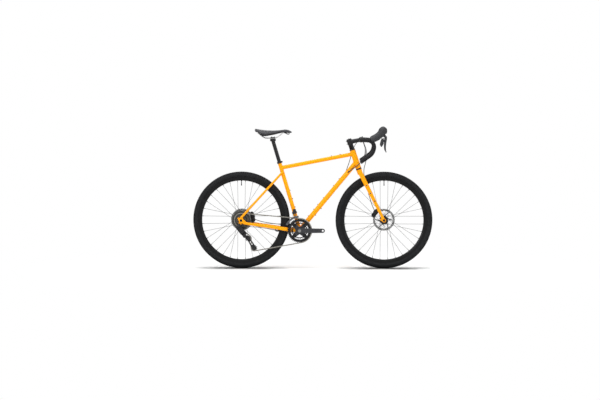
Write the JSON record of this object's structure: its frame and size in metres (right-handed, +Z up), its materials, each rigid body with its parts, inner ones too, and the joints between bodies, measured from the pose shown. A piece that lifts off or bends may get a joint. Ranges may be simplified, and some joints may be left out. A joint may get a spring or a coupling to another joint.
{
  "type": "gravel bike",
  "caption": "Steel-tubed gravel bicycle with drop bar, disc brakes, wide tyres, two chainrings and a derailleur drive; no pedals fitted.",
  "frame": {"origin": "on the ground midway between the two axles, on the centre plane", "axes": "+X forward, +Y to the rider's left, +Z up"},
  "size_m": [1.7567, 0.5036, 1.0404],
  "materials": {
    "frame_paint": "gloss amber yellow powder coat",
    "black_alloy": "black anodised, satin",
    "tyre_rubber": "matt rubber with small shoulder knobs",
    "rim_alloy": "black anodised, glossy",
    "spoke_steel": "polished stainless",
    "drive_steel": "nickel plated",
    "rotor_steel": "ground stainless",
    "hub_alloy": "black anodised",
    "bolt_steel": "black oxide",
    "hood_rubber": "soft moulded rubber",
    "tape_foam": "wrapped foam tape",
    "lever_alloy": "satin dark grey",
    "saddle_cover": "smooth synthetic cover",
    "saddle_shell": "moulded",
    "rail_steel": "silver",
    "hose_jacket": "smooth black jacket",
    "pulley_plastic": "moulded",
    "cage_steel": "polished",
    "pad_compound": "resin compound"
  },
  "bodies": {
    "frame": {"head_tube": "frame_paint", "top_tube": "frame_paint", "down_tube": "frame_paint", "seat_tube": "frame_paint", "bottom_bracket_shell": "frame_paint", "chainstays": "frame_paint", "seatstays": "frame_paint", "dropouts": "frame_paint", "bottle_bolts": "bolt_steel", "seat_collar": "black_alloy", "bearing_cups": "black_alloy", "rear_thru_axle": "bolt_steel", "rear_caliper": "black_alloy", "rear_brake_pads": "pad_compound", "rear_brake_hose": "hose_jacket", "shift_housings": "hose_jacket", "chain": "drive_steel", "front_derailleur_clamp": "black_alloy", "rear_derailleur_knuckle": "black_alloy"},
    "steering": {"fork_crown": "frame_paint", "fork_blades": "frame_paint", "fork_bolts": "bolt_steel", "stem": "black_alloy", "handlebar": "black_alloy", "bar_tape": "tape_foam", "lever_hoods": "hood_rubber", "front_caliper": "black_alloy", "front_brake_pads": "pad_compound", "front_brake_hose": "hose_jacket", "front_thru_axle": "bolt_steel"},
    "front_wheel": {"front_tyre": "tyre_rubber", "front_rim": "rim_alloy", "front_spokes": "spoke_steel", "front_hub": "hub_alloy", "front_rotor": "rotor_steel"},
    "rear_wheel": {"rear_tyre": "tyre_rubber", "rear_rim": "rim_alloy", "rear_spokes": "spoke_steel", "rear_hub": "hub_alloy", "rear_rotor": "rotor_steel"},
    "cassette": {"cassette": "drive_steel"},
    "crankset": {"right_crank_arm": "black_alloy", "left_crank_arm": "black_alloy", "chainrings": "black_alloy"},
    "derailleur_outer_link": {"rear_derailleur_outer_link": "black_alloy"},
    "derailleur_inner_link": {"rear_derailleur_inner_link": "black_alloy"},
    "derailleur_pulley_knuckle": {"rear_derailleur_pulley_knuckle": "black_alloy"},
    "derailleur_cage": {"rear_derailleur_cage": "cage_steel"},
    "guide_pulley": {"guide_pulley": "pulley_plastic"},
    "tension_pulley": {"tension_pulley": "pulley_plastic"},
    "front_derailleur_link": {"front_derailleur_link": "black_alloy"},
    "front_derailleur_cage": {"front_derailleur_cage": "cage_steel"},
    "right_brake_lever": {"right_brake_lever": "lever_alloy"},
    "left_brake_lever": {"left_brake_lever": "lever_alloy"},
    "right_shift_paddle": {"right_shift_paddle": "lever_alloy"},
    "left_shift_paddle": {"left_shift_paddle": "lever_alloy"},
    "seat": {"seatpost": "black_alloy", "saddle_rails": "rail_steel", "saddle_base": "saddle_shell", "saddle_cover": "saddle_cover"}
  },
  "joints": [
    {"name": "steering", "type": "hinge", "parent": "frame", "child": "steering", "pos_m": [0.31347, 0, 0.80209], "axis": [-0.3173, 0, 0.9483], "range_deg": [-60, 60], "deforming": ["rear_brake_hose", "shift_housings"]},
    {"name": "front_wheel_spin", "type": "hinge", "parent": "steering", "child": "front_wheel", "pos_m": [0.523, 0, 0.3555], "axis": [0, 1, 0], "continuous": true},
    {"name": "rear_wheel_spin", "type": "hinge", "parent": "frame", "child": "rear_wheel", "pos_m": [-0.523, 0, 0.3555], "axis": [0, 1, 0], "continuous": true},
    {"name": "crank_spin", "type": "hinge", "parent": "frame", "child": "crankset", "pos_m": [-0.09451, 0, 0.2805], "axis": [0, 1, 0], "continuous": true, "deforming": ["chain"]},
    {"name": "cassette_spin", "type": "hinge", "parent": "frame", "child": "cassette", "pos_m": [-0.523, 0, 0.3555], "axis": [0, 1, 0], "continuous": true},
    {"name": "rear_shift", "type": "hinge", "parent": "frame", "child": "derailleur_outer_link", "pos_m": [-0.53685, -0.09804, 0.30319], "axis": [0.795, 0, 0.6067], "range_deg": [-28.48, 14.71], "deforming": ["shift_housings"]},
    {"name": "rear_shift_inner_link", "type": "hinge", "parent": "frame", "child": "derailleur_inner_link", "pos_m": [-0.54114, -0.08596, 0.30881], "axis": [0.795, 0, 0.6067], "range_deg": [-28.48, 14.71]},
    {"name": "rear_shift_knuckle", "type": "hinge", "parent": "derailleur_outer_link", "child": "derailleur_pulley_knuckle", "pos_m": [-0.50785, -0.07006, 0.26519], "axis": [0.795, 0, 0.6067], "range_deg": [-14.71, 28.48]},
    {"name": "chain_tension", "type": "hinge", "parent": "derailleur_pulley_knuckle", "child": "derailleur_cage", "pos_m": [-0.497, 0, 0.24], "axis": [0, 1, 0], "range_deg": [-25, 30], "stiffness_Nm_per_rad": 0.6},
    {"name": "guide_pulley_spin", "type": "hinge", "parent": "derailleur_cage", "child": "guide_pulley", "pos_m": [-0.47199, 0, 0.22286], "axis": [0, 1, 0], "continuous": true},
    {"name": "tension_pulley_spin", "type": "hinge", "parent": "derailleur_cage", "child": "tension_pulley", "pos_m": [-0.42864, 0, 0.15187], "axis": [0, 1, 0], "continuous": true},
    {"name": "front_shift", "type": "hinge", "parent": "frame", "child": "front_derailleur_link", "pos_m": [-0.13331, -0.0375, 0.42981], "axis": [1, 0, 0], "range_deg": [0, 16.73], "stiffness_Nm_per_rad": 1, "springref_deg": -17.19},
    {"name": "front_shift_cage", "type": "hinge", "parent": "front_derailleur_link", "child": "front_derailleur_cage", "pos_m": [-0.13331, -0.041, 0.40601], "axis": [1, 0, 0], "range_deg": [-16.73, 0]},
    {"name": "right_brake_pull", "type": "hinge", "parent": "steering", "child": "right_brake_lever", "pos_m": [0.50456, -0.213, 0.97917], "axis": [0, 1, 0], "range_deg": [0, 15], "stiffness_Nm_per_rad": 1.5, "springref_deg": -17.19},
    {"name": "left_brake_pull", "type": "hinge", "parent": "steering", "child": "left_brake_lever", "pos_m": [0.50456, 0.213, 0.97917], "axis": [0, 1, 0], "range_deg": [0, 15], "stiffness_Nm_per_rad": 1.5, "springref_deg": -17.19},
    {"name": "right_shift_push", "type": "hinge", "parent": "right_brake_lever", "child": "right_shift_paddle", "pos_m": [0.52106, -0.213, 0.93917], "axis": [0, 0, -1], "range_deg": [0, 20], "stiffness_Nm_per_rad": 0.15, "springref_deg": -17.19},
    {"name": "left_shift_push", "type": "hinge", "parent": "left_brake_lever", "child": "left_shift_paddle", "pos_m": [0.52106, 0.213, 0.93917], "axis": [0, 0, 1], "range_deg": [0, 20], "stiffness_Nm_per_rad": 0.15, "springref_deg": -17.19},
    {"name": "seat_height", "type": "slide", "parent": "frame", "child": "seat", "axis": [-0.2874, 0, 0.9578], "range_m": [-0.1, 0.05]}
  ],
  "couplings": [
    {"joint": "cassette_spin", "follows": "crank_spin", "ratio": 1.76},
    {"joint": "guide_pulley_spin", "follows": "crank_spin", "ratio": -4},
    {"joint": "tension_pulley_spin", "follows": "crank_spin", "ratio": 4},
    {"joint": "rear_shift_inner_link", "follows": "rear_shift", "ratio": 1},
    {"joint": "rear_shift_knuckle", "follows": "rear_shift", "ratio": -1},
    {"joint": "front_shift_cage", "follows": "front_shift", "ratio": -1}
  ]
}
